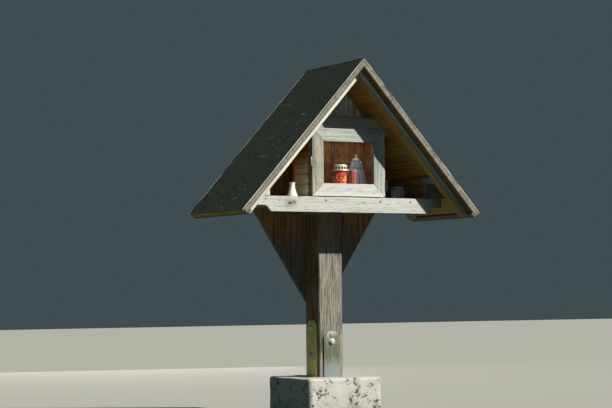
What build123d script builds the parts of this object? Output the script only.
from build123d import *
from math import atan2, cos, hypot, radians, sin, tan
import os

# A wooden wayside shrine on a single post. Millimetres, X to the right, Y to the rear, Z up.
# The origin is on the ground under the middle of the post, and the gable front faces -Y.

# Footing block
block_width = 370
block_height = 190
block_corner_radius = 24
block_top_radius = 13

# Post
post_width = 120
post_chamfer = 4

# Anchor plates and their through bolts, heights above the block
plate_width = 80
plate_thickness = 6
plate_embed = 60
plate_chamfer_width = 20
plate_chamfer_height = 22
side_plate_height = 247
front_plate_height = 197
side_bolt_heights = (94, 215)
front_bolt_height = 154
bolt_diameter = 12
bolt_clearance = 0.3
bolt_head_across = 19
bolt_head_height = 8
washer_diameter = 27
washer_thickness = 2.5
bolt_stub = 5

# Roof
roof_half_width = 585
roof_rise = 649
eave_lift = 2
roof_front = -359
roof_rear = 140
roof_board_thickness = 22
roof_board_count = 6
board_gap = 1.5
roof_board_gap = 0.4
felt_thickness = 3.5
felt_eave_drip = 5
rafter_depth = 28
rafter_width = 40
front_rafter_setback = 41
rafter_foot_setback = 24
eave_batten_depth = 10
purlin_width = 34
purlin_depth = 28

# Floor, front board and ends
floor_clear_height = 709
front_board_height = 66
front_board_thickness = 22
front_board_inset = 121
front_board_face = -246
cove_height = 26
cove_shelf = 44
cove_run = 26
cove_radius = 16
bearer_width = 40
bearer_height = 28
bearer_lift = 2
floor_thickness = 22
floor_board_count = 3
side_board_inset = 185
side_board_thickness = 22
corner_board_gap = 1

# Back boards
back_thickness = 22
back_inset = 281
back_board_count = 7
back_corner_lift = 9
back_tip_half_width = 52
back_taper_height = 392

# Niche box behind the door
niche_wall = 22
niche_lower_side = 192
niche_back_thickness = 20
niche_top_thickness = 22
niche_head_rise = 60
niche_head_lap = 20
niche_head_thickness = 22
niche_head_setback = 40

# Glazed door
door_gap = 5
door_half_width = 183
door_thickness = 22
door_setback = 20
stile_width = 57
bottom_rail_width = 55
top_rail_width = 57
door_opening_height = 180
rebate_width = 8
rebate_depth = 11
glass_thickness = 3
bead_width = 7
hinge_height = 44
hinge_knuckle_radius = 4
hinge_pin_radius = 2
hinge_leaf_thickness = 2
hinge_clearance = 0.3
hinge_edge_distance = 48
hinge_leaf_reach = 24
pull_height = 40
pull_width = 7
pull_depth = 13

# Things kept in the shrine: three in the niche, a vase and a jar on the floor beside it
lantern_x = 9
lantern_setback = 62
lantern_radius = 37.5
lantern_sides = 12
lantern_foot = 4
lantern_body_height = 134
lantern_shoulder_height = 22
lantern_neck_radius = 30
lantern_neck_height = 6
lantern_lid_height = 28
lid_ring_radius = 38
lid_ring_height = 6
lid_band_radius = 25
lid_rib_count = 12
lid_rib_width = 5
lid_cap_radius = 29.5
lid_cap_height = 10
lid_edge = 2
candle_x = 45
candle_setback = 19
candle_radius = 17.5
candle_height = 136
candle_rib_count = 14
candle_rib_depth = 1.6
candle_rim_height = 6
candle_wall = 2.5
statuette_x = 101
statuette_setback = 81
statuette_height = 214
pedestal_height = 62
hem_half_width = 50
hem_half_depth = 36.5
cloak_thickness = 2.5
cloak_opening = 58
gown_pleats = 20
pleat_depth = 2.2
cloak_sides = 28
head_half_width = 7.2
head_half_depth = 8.6
head_half_height = 9.5
vase_gap = 44
vase_setback = 44
vase_radius = 24
vase_wall = 3
vase_height = 76
jar_gap = 72
jar_setback = 74
jar_radius = 34
jar_height = 70
jar_wall = 2.5
jar_shoulder = 3

# Lines that follow from the sizes above
front_board_bottom = block_height + floor_clear_height
eave_height = front_board_bottom + eave_lift
ridge_height = eave_height + roof_rise
pitch = atan2(ridge_height - eave_height, roof_half_width)
slope_length = hypot(roof_half_width, ridge_height - eave_height)
front_board_top = front_board_bottom + front_board_height
front_board_rear = front_board_face + front_board_thickness
front_board_half_length = roof_half_width - front_board_inset
bearer_bottom = front_board_bottom + bearer_lift
floor_bottom = bearer_bottom + bearer_height
floor_top = floor_bottom + floor_thickness
post_half = post_width / 2
back_face = post_half
back_rear = back_face + back_thickness
back_half_width = roof_half_width - back_inset
back_corner_height = front_board_bottom + back_corner_lift
back_tip_height = back_corner_height - back_taper_height
front_rafter_face = roof_front + front_rafter_setback
front_rafter_rear = front_rafter_face + rafter_width
side_board_inner = roof_half_width - side_board_inset
side_board_outer = side_board_inner + side_board_thickness
door_face = front_board_face + door_setback
door_rear = door_face + door_thickness
niche_face = door_rear + door_gap
niche_rear = -post_half
niche_back_face = niche_rear - niche_back_thickness
door_bottom = front_board_top + door_gap
door_opening_bottom = door_bottom + bottom_rail_width
door_opening_top = door_opening_bottom + door_opening_height
door_top = door_opening_top + top_rail_width
door_opening_half = door_half_width - stile_width
niche_split_height = floor_top + niche_lower_side
niche_head_bottom = door_top - niche_head_lap
niche_head_face = niche_face + niche_head_setback
niche_head_rear = niche_head_face + niche_head_thickness
niche_top_height = door_top + niche_head_rise
hinge_axis_x = door_half_width + hinge_knuckle_radius
hinge_axis_y = door_face - hinge_pin_radius
niche_half_width = hinge_axis_x + hinge_pin_radius
lantern_position = (lantern_x, niche_face + lantern_setback)
candle_position = (candle_x, niche_face + candle_setback)
statuette_position = (statuette_x, niche_face + statuette_setback)
vase_position = (-niche_half_width - vase_gap - vase_radius, front_board_rear + vase_setback)
jar_position = (niche_half_width + jar_gap + jar_radius, front_board_rear + jar_setback)
figure_height = statuette_height - pedestal_height
far = 2000


def block(x0, x1, y0, y1, z0, z1):
    return Pos((x0 + x1) / 2, (y0 + y1) / 2, (z0 + z1) / 2) * Box(x1 - x0, y1 - y0, z1 - z0)


def plate(points, y0, y1):
    # an outline of (x, z) points, as thick as from y0 to y1
    front = Plane(origin=(0, y1, 0), x_dir=(1, 0, 0), z_dir=(0, -1, 0))
    outline = front * make_face(Polyline(*points, close=True))
    return extrude(outline, amount=y1 - y0)


def on_slope(s0, s1, d0, d1, y0, y1):
    # a bar on the right slope: s runs down from the ridge, d is the depth below the boards' top
    down, outward = (cos(pitch), 0, -sin(pitch)), (sin(pitch), 0, cos(pitch))
    slope = Plane(origin=(0, 0, ridge_height), x_dir=down, z_dir=outward)
    return slope * block(s0, s1, y0, y1, -d1, -d0)


def under_roof(x, depth=roof_board_thickness):
    # height of the plane that lies this deep below the boards' top
    return ridge_height - abs(x) * tan(pitch) - depth / cos(pitch)


def reach_under_roof(z, depth=roof_board_thickness):
    return (ridge_height - depth / cos(pitch) - z) / tan(pitch)


def slope_run(x, depth):
    # distance down the slope to the point at this x and depth
    return (x + depth * sin(pitch)) / cos(pitch)


def loft_space(depth):
    # the room under both slopes, from this depth down
    eave = under_roof(far, depth)
    return plate([(0, under_roof(0, depth)), (far, eave), (-far, eave)], -far, far)


def mirrored(shape):
    return mirror(shape, about=Plane.YZ)


def save(name, *solids):
    shape = solids[0] if len(solids) == 1 else Compound(children=list(solids))
    export_step(shape, f"parts/{name}.step")


def split_boards(outline, count, low, high, upright=True):
    # boards of one width with a gap between them, cut to an outline
    width = (high - low - (count - 1) * board_gap) / count
    boards = []
    for i in range(count):
        start = low + i * (width + board_gap)
        if upright:
            strip = block(start, start + width, -far, far, 0, far)
        else:
            strip = block(-far, far, start, start + width, 0, far)
        boards += (outline & strip).solids()
    return boards


# Footing


def anchor_plate(height):
    # stands at the post's front face, its outer side forward
    half = plate_width / 2
    shoulder = height - plate_chamfer_height
    points = [(-half, -plate_embed), (half, -plate_embed), (half, shoulder), (half - plate_chamfer_width, height)]
    points += [(plate_chamfer_width - half, height), (-half, shoulder)]
    points = [(x, z + block_height) for x, z in points]
    return plate(points, -post_half - plate_thickness, -post_half)


def bore(height):
    radius = bolt_diameter / 2 + bolt_clearance
    return Pos(0, 0, block_height + height) * Rot(90, 0, 0) * Cylinder(radius, far)


def through_bolt(height):
    # along Y: hexagon head at the front, nut at the rear, a washer under each
    grip = post_half + plate_thickness
    z = block_height + height
    shaft_end = grip + washer_thickness + bolt_head_height
    front = Plane(origin=(0, -grip, z), x_dir=(1, 0, 0), z_dir=(0, -1, 0))
    rear = Plane(origin=(0, grip, z), x_dir=(1, 0, 0), z_dir=(0, 1, 0))
    hexagon = RegularPolygon(radius=bolt_head_across / 2, side_count=6, major_radius=False)
    bolt = Pos(0, bolt_stub / 2, z) * Rot(90, 0, 0) * Cylinder(bolt_diameter / 2, 2 * shaft_end + bolt_stub)
    for side in (front, rear):
        bolt += extrude(side * Circle(washer_diameter / 2), amount=washer_thickness)
        bolt += extrude(side.offset(washer_thickness) * hexagon, amount=bolt_head_height)
    return bolt - block(-far, far, -far, -shaft_end, 0, far)


def turned(shape, angle):
    return Rot(0, 0, angle) * shape


side_bores = bore(side_bolt_heights[0]) + bore(side_bolt_heights[1])
front_plate = anchor_plate(front_plate_height) - bore(front_bolt_height)
side_plate = anchor_plate(side_plate_height) - side_bores
plates = {
    "anchor_plate_front": front_plate,
    "anchor_plate_rear": turned(front_plate, 180),
    "anchor_plate_left": turned(side_plate, -90),
    "anchor_plate_right": turned(side_plate, 90),
}

footing = block(-block_width / 2, block_width / 2, -block_width / 2, block_width / 2, 0, block_height)
footing = fillet(footing.edges().filter_by(Axis.Z), block_corner_radius)
footing = fillet(footing.faces().sort_by(Axis.Z)[-1].edges(), block_top_radius)
for shape in plates.values():
    footing -= shape

bolts = [through_bolt(front_bolt_height)]
for height in side_bolt_heights:
    bolts.append(turned(through_bolt(height), -90))

post = block(-post_half, post_half, -post_half, post_half, block_height, ridge_height)
post = chamfer(post.edges().filter_by(Axis.Z), post_chamfer)
post &= loft_space(roof_board_thickness)
post -= bore(front_bolt_height)
post -= turned(side_bores, 90)

# Roof


def roof_boards():
    # the right slope: boards run from front to rear and meet the other slope in an upright joint
    width = (slope_length - (roof_board_count - 1) * roof_board_gap) / roof_board_count
    boards = []
    for i in range(roof_board_count):
        start = i * (width + roof_board_gap)
        top = start if i else -roof_board_thickness
        boards.append(on_slope(top, start + width, 0, roof_board_thickness, roof_front, roof_rear))
    boards[0] &= block(0, far, -far, far, 0, far)
    return boards


def felt():
    sheet = on_slope(-felt_thickness, slope_length + felt_eave_drip, -felt_thickness, 0, roof_front, roof_rear)
    return sheet & block(0, far, -far, far, 0, far + ridge_height)


def rafters(y0):
    # the right one runs to the ridge, the left one butts against it
    bottom = roof_board_thickness + rafter_depth
    foot = slope_length - rafter_foot_setback
    bar = on_slope(-rafter_depth, foot, roof_board_thickness, bottom, y0, y0 + rafter_width)
    right = bar & loft_space(roof_board_thickness)
    left = (mirrored(bar) & loft_space(roof_board_thickness)) - right
    return left, right


def eave_batten():
    bottom = roof_board_thickness + eave_batten_depth
    start = slope_length - rafter_foot_setback
    return on_slope(start, slope_length, roof_board_thickness, bottom, roof_front, roof_rear)


def purlin():
    # lies along the side board's top, its inner edge over the board's inner face
    start = slope_run(side_board_inner, roof_board_thickness)
    bottom = roof_board_thickness + purlin_depth
    return on_slope(start, start + purlin_width, roof_board_thickness, bottom, front_rafter_rear, back_rear)


front_rafters = rafters(front_rafter_face)
rear_rafters = rafters(back_rear)

# Body


def front_board():
    # the lower corners are cut away: a slanted cut, then a cove into a level shelf
    half = front_board_half_length
    shelf = front_board_bottom + cove_height
    foot = half - cove_shelf - cove_run
    points = [(-half, front_board_top), (-half, shelf), (cove_shelf - half, shelf), (-foot, front_board_bottom)]
    points += [(-x, z) for x, z in reversed(points)]
    board = plate(points, front_board_face, front_board_rear)
    corners = [e for e in board.edges().filter_by(Axis.Y) if abs(abs(e.center().X) - (half - cove_shelf)) < 1]
    return fillet(corners, cove_radius)


def floor_boards():
    deck = block(-side_board_outer, side_board_outer, front_board_rear, back_face, floor_bottom, floor_top)
    boards = split_boards(deck, floor_board_count, front_board_rear, back_face, upright=False)
    core = block(-post_half, post_half, -post_half, post_half, floor_bottom, floor_top)
    return [solid for board in boards for solid in (board - core).solids()]


def bearer():
    return block(post_half, post_half + bearer_width, front_board_rear, back_face, bearer_bottom, floor_bottom)


def side_board():
    board = block(side_board_inner, side_board_outer, front_board_rear, back_face, floor_top, ridge_height)
    return board & loft_space(roof_board_thickness + purlin_depth)


def corner_board():
    # closes the wedge between the front board and the roof
    low = front_board_top + corner_board_gap
    points = [(side_board_inner, low), (reach_under_roof(low), low), (side_board_inner, under_roof(side_board_inner))]
    return plate(points, front_board_face, front_board_rear) - purlin()


def back_wing():
    # closes the side compartment behind the floor, out to the side board's outer face
    start = back_half_width + board_gap
    board = block(start, side_board_outer, back_face, back_rear, floor_bottom, ridge_height)
    return (board & loft_space(roof_board_thickness)) - purlin()


def back_outline():
    top = under_roof(back_half_width)
    right = [(back_tip_half_width, back_tip_height), (back_half_width, back_corner_height), (back_half_width, top)]
    left = [(-x, z) for x, z in reversed(right)]
    return plate(right + [(0, under_roof(0))] + left, back_face, back_rear)


# Niche box


def niche_side():
    inner = niche_half_width - niche_wall
    wall = block(inner, niche_half_width, niche_face, niche_back_face, floor_top, niche_top_height)
    wall -= block(0, far, niche_face, niche_head_rear, niche_head_bottom, far)
    wall &= loft_space(roof_board_thickness)
    wall -= block(0, far, -far, far, niche_top_height - niche_top_thickness, far)
    low = wall & block(0, far, -far, far, 0, niche_split_height)
    return [low, wall & block(0, far, -far, far, niche_split_height + board_gap, far)]


def niche_top():
    low = niche_top_height - niche_top_thickness
    board = block(-far, far, niche_head_rear, niche_back_face, low, niche_top_height)
    return board & loft_space(roof_board_thickness)


def niche_head():
    board = block(-far, far, niche_head_face, niche_head_rear, niche_head_bottom, niche_top_height)
    return board & loft_space(roof_board_thickness)


def niche_back():
    board = block(-niche_half_width, niche_half_width, niche_back_face, niche_rear, floor_top, ridge_height)
    return board & loft_space(roof_board_thickness)


# Door


def door_ring(inset_x, inset_low, inset_high, y0, y1):
    # the opening, widened by the three insets
    half = door_opening_half + inset_x
    return block(-half, half, y0, y1, door_opening_bottom - inset_low, door_opening_top + inset_high)


def door_members():
    outer = [(-door_half_width, door_bottom), (door_half_width, door_bottom)]
    outer += [(door_half_width, door_top), (-door_half_width, door_top)]
    half = door_opening_half
    inner = [(-half, door_opening_bottom), (half, door_opening_bottom)]
    inner += [(half, door_opening_top), (-half, door_opening_top)]
    rebate = door_ring(rebate_width, rebate_width, rebate_width, door_rear - rebate_depth, door_rear + 1)
    names = ("door_rail_bottom", "door_stile_right", "door_rail_top", "door_stile_left")
    members = {}
    for i, name in enumerate(names):
        k = (i + 1) % 4
        members[name] = plate([outer[i], outer[k], inner[k], inner[i]], door_face, door_rear) - rebate
    return members


def door_glass():
    front = door_rear - rebate_depth
    return door_ring(rebate_width, rebate_width, rebate_width, front, front + glass_thickness)


def glazing_bead():
    front = door_rear - rebate_depth + glass_thickness
    inset = rebate_width - bead_width
    ring = door_ring(rebate_width, rebate_width, rebate_width, front, door_rear)
    return ring - door_ring(inset, inset, inset, front, door_rear)


def hinge_heights():
    return (door_bottom + hinge_edge_distance, door_top - hinge_edge_distance)


def knuckle(radius, low, high):
    return Pos(hinge_axis_x, hinge_axis_y, (low + high) / 2) * Cylinder(radius, high - low)


def hinge_fixed(z):
    # leaf flat on the box's side, run forward to the outer knuckles, with the pin in them
    half = hinge_height / 2
    third = hinge_height / 6
    x0 = niche_half_width
    leaf_end = niche_face + hinge_leaf_reach
    leaf = block(x0, x0 + hinge_leaf_thickness, hinge_axis_y, leaf_end, z - half, z + half)
    reach = hinge_knuckle_radius + hinge_clearance
    leaf -= knuckle(reach, z - third - hinge_clearance, z + third + hinge_clearance)
    leaf += knuckle(hinge_knuckle_radius, z + third + hinge_clearance, z + half)
    leaf += knuckle(hinge_knuckle_radius, z - half, z - third - hinge_clearance)
    return leaf + knuckle(hinge_pin_radius, z - half, z + half)


def hinge_moving(z):
    # leaf on the door's edge with the middle knuckle
    half = hinge_height / 2
    third = hinge_height / 6
    x0 = door_half_width
    leaf = block(x0, x0 + hinge_leaf_thickness, hinge_axis_y, door_rear, z - half, z + half)
    reach = hinge_knuckle_radius + hinge_clearance
    leaf -= knuckle(reach, z + third, z + half)
    leaf -= knuckle(reach, z - half, z - third)
    leaf += knuckle(hinge_knuckle_radius, z - third, z + third)
    return leaf - knuckle(hinge_pin_radius + hinge_clearance, z - half, z + half)


def door_pull():
    # a bent strip on the free edge at mid height
    z = (door_bottom + door_top) / 2
    x = -door_half_width
    strip = block(x - pull_width, x, door_face, door_face + pull_depth, z - pull_height / 2, z + pull_height / 2)
    return fillet(strip.faces().sort_by(Axis.X)[0].edges().filter_by(Axis.Y), pull_width / 2)


# Things kept in the shrine


def turned_form(points, place, base):
    # a profile of (radius, height) points, spun about the upright through the place
    profile = Plane.XZ * make_face(Polyline(*points, close=True))
    return Pos(place[0], place[1], base) * revolve(profile, Axis.Z)


def lantern_body():
    # a pressed glass jar with flat sides, drawn in to a round neck
    rim = lantern_body_height - lantern_neck_height
    shoulder = lantern_body_height - lantern_shoulder_height
    levels = [(0, lantern_radius - lantern_foot), (lantern_foot, lantern_radius), (shoulder, lantern_radius)]
    levels.append((rim, lantern_neck_radius))
    jar = loft([Pos(0, 0, z) * RegularPolygon(radius=r, side_count=lantern_sides) for z, r in levels], ruled=True)
    neck = Cylinder(lantern_neck_radius - 1, lantern_neck_height + 1)
    return Pos(*lantern_position, floor_top) * (jar + Pos(0, 0, rim + (lantern_neck_height - 1) / 2) * neck)


def lantern_lid():
    # a ring on the glass, a set-back band with ribs between the openings, and a cap
    h, ring, edge = lantern_lid_height, lid_ring_height, lid_edge
    band_top = h - lid_cap_height
    outer, core, cap = lid_ring_radius, lid_band_radius, lid_cap_radius
    points = [(0, 0), (outer, 0), (outer, ring), (core, ring), (core, band_top)]
    points += [(cap, band_top), (cap, h - edge), (cap - 3 * edge, h), (0, h)]
    lid = turned_form(points, (0, 0), 0)
    for i in range(lid_rib_count):
        rib = block(core - 2, cap - edge, -lid_rib_width / 2, lid_rib_width / 2, ring, band_top)
        lid += Rot(0, 0, i * 360 / lid_rib_count) * rib
    return Pos(*lantern_position, floor_top + lantern_body_height) * lid


def oval(z, half_width, half_depth, sides, pleat=0):
    # a level face on an oval, its corners set in by turns to fold the form drawn through them
    corners = []
    for i in range(sides):
        angle = radians(360 * i / sides)
        inset = pleat * (i % 2)
        corners.append(((half_width - inset) * cos(angle), (half_depth - inset) * sin(angle)))
    return Pos(0, 0, z) * make_face(Polyline(*corners, close=True))


def ribbed_glass():
    h, rim, depth = candle_height, candle_height - candle_rim_height, candle_rib_depth
    sides = 2 * candle_rib_count
    levels = [(0, candle_radius - 3, 0), (3, candle_radius, depth), (rim - 3, candle_radius, depth)]
    wall = loft([oval(z, r, r, sides, inset) for z, r, inset in levels], ruled=True)
    top = oval(rim - 3, candle_radius, candle_radius, sides)
    return wall + extrude(top, amount=h - rim + 3)


def small_candle():
    # a glass with upright ribs round it and a plain rim, filled to just below it
    well = Pos(0, 0, candle_height) * Cylinder(candle_radius - candle_wall, 2 * (candle_wall + 1))
    return Pos(*candle_position, floor_top) * (ribbed_glass() - well)


def drapery(form, shrink, sides, pleat=0):
    # cloth round the figure: shares of its height, and of the hem's half width and half depth
    faces = []
    for t, x, y in form:
        depth = pleat * (1 - t)
        faces.append(oval(figure_height * t, hem_half_width * x - shrink, hem_half_depth * y - shrink, sides, depth))
    return loft(faces, ruled=True)


def limb(start, end, radius, end_radius):
    # a tapered eight-sided bar from one point to another
    along = Vector(*end) - Vector(*start)
    near = Plane(origin=start, z_dir=along)
    bar = [near * RegularPolygon(radius, 8), near.offset(along.length) * RegularPolygon(end_radius, 8)]
    return loft(bar, ruled=True)


def pedestal():
    w, d, h = hem_half_width, hem_half_depth, pedestal_height
    form = [(0, 0.9), (0.13, 0.9), (0.2, 0.78), (0.8, 0.74), (0.87, 0.88), (1, 0.88)]
    return loft([oval(h * t, w * share, d * share, cloak_sides) for t, share in form], ruled=True)


def head():
    # level ovals on a ball, narrower towards the chin
    faces = []
    for step in range(-3, 4):
        rise = radians(28 * step)
        jaw = 1 + 0.16 * min(sin(rise), 0)
        width, depth = head_half_width * cos(rise) * jaw, head_half_depth * cos(rise) * jaw
        faces.append(oval(head_half_height * sin(rise) / sin(radians(84)), width, depth, 16))
    return loft(faces, ruled=True)


def figure():
    # pleated gown, cloak open in front, short cape, one hand raised and one on the breast, bare head
    h, w, d = figure_height, hem_half_width, hem_half_depth
    form = [(0, 0.99, 0.99), (0.16, 0.97, 0.97), (0.42, 0.8, 0.82), (0.6, 0.62, 0.65), (0.78, 0.4, 0.46)]
    form += [(0.84, 0.3, 0.35), (0.875, 0.16, 0.2)]
    gown = drapery(form, cloak_thickness, 2 * gown_pleats, pleat_depth)
    cloak = drapery(form[:-1], 0, cloak_sides)
    reach = 4 * w
    angle = radians(cloak_opening)
    corners = [(0, 0), (-reach * sin(angle), -reach * cos(angle)), (reach * sin(angle), -reach * cos(angle))]
    cloak -= Pos(0, 0, -1) * extrude(make_face(Polyline(*corners, close=True)), amount=far)
    cape_form = [(0.6, 0.65, 0.69), (0.7, 0.53, 0.57), (0.78, 0.42, 0.48), (0.845, 0.31, 0.36), (0.88, 0.15, 0.19)]
    body = gown + cloak + drapery(cape_form, 0, cloak_sides)
    body += limb((-0.5 * w, -0.2 * d, 0.58 * h), (-0.44 * w, -0.5 * d, 0.73 * h), 7, 4.5)
    body += limb((-0.44 * w, -0.48 * d, 0.72 * h), (-0.42 * w, -0.52 * d, 0.83 * h), 3, 1.8)
    body += limb((0.42 * w, -0.2 * d, 0.62 * h), (0.16 * w, -0.52 * d, 0.75 * h), 6.5, 4.5)
    body += limb((0.16 * w, -0.5 * d, 0.75 * h), (0.03 * w, -0.52 * d, 0.8 * h), 3, 1.8)
    body += limb((0, 0, 0.86 * h), (0, -0.5, 0.9 * h), 4.2, 4)
    return body + Pos(0, -0.8, h - head_half_height) * head()


def statuette():
    return Pos(*statuette_position, floor_top) * (pedestal() + Pos(0, 0, pedestal_height) * figure())


def vase():
    # outer side up to the lip, then the inner side down, by shares of the widest radius and the height
    r, h = vase_radius, vase_height
    form = [(0.88, 0), (1, 0.2), (0.55, 0.66), (0.48, 0.87), (0.58, 1)]
    outer = [(r * a, h * b) for a, b in form]
    inner = [(a - vase_wall, max(b, vase_wall)) for a, b in reversed(outer)]
    return turned_form([(0, 0)] + outer + inner + [(0, vase_wall)], vase_position, floor_top)


def glass_jar():
    # straight wall, drawn in at the shoulder to a short neck
    r, h, wall = jar_radius, jar_height, jar_wall
    neck = r - jar_shoulder
    points = [(0, 0), (r, 0), (r, h - 12), (neck, h - 8), (neck, h)]
    points += [(neck - wall, h), (neck - wall, h - 9), (r - wall, h - 13), (r - wall, 2 * wall), (0, 2 * wall)]
    return turned_form(points, jar_position, floor_top)


os.makedirs("parts", exist_ok=True)
save("footing_block", footing)
save("post", post)
save("anchor_bolts", *bolts)
for name, shape in plates.items():
    save(name, shape)
save("roof_boards_right", *roof_boards())
save("roof_boards_left", *[mirrored(board) for board in roof_boards()])
save("roof_felt_right", felt())
save("roof_felt_left", mirrored(felt()))
save("rafter_front_left", front_rafters[0])
save("rafter_front_right", front_rafters[1])
save("rafter_rear_left", rear_rafters[0])
save("rafter_rear_right", rear_rafters[1])
save("eave_battens", mirrored(eave_batten()), eave_batten())
save("purlins", mirrored(purlin()), purlin())
save("front_board", front_board())
save("floor_boards", *floor_boards())
save("floor_bearers", mirrored(bearer()), bearer())
save("side_board_left", mirrored(side_board()))
save("side_board_right", side_board())
save("corner_board_left", mirrored(corner_board()))
save("corner_board_right", corner_board())
panel = split_boards(back_outline(), back_board_count, -back_half_width, back_half_width)
save("back_boards", mirrored(back_wing()), *panel, back_wing())
save("niche_side_left", *[mirrored(board) for board in niche_side()])
save("niche_side_right", *niche_side())
save("niche_top", niche_top())
save("niche_head", niche_head())
save("niche_back", niche_back())
for name, shape in door_members().items():
    save(name, shape)
save("door_glass", door_glass())
save("glazing_bead", glazing_bead())
save("hinges_fixed", *[hinge_fixed(z) for z in hinge_heights()])
save("hinges_moving", *[hinge_moving(z) for z in hinge_heights()])
save("door_pull", door_pull())
save("lantern_body", lantern_body())
save("lantern_lid", lantern_lid())
save("small_candle", small_candle())
save("statuette", statuette())
save("flower_vase", vase())
save("glass_jar", glass_jar())
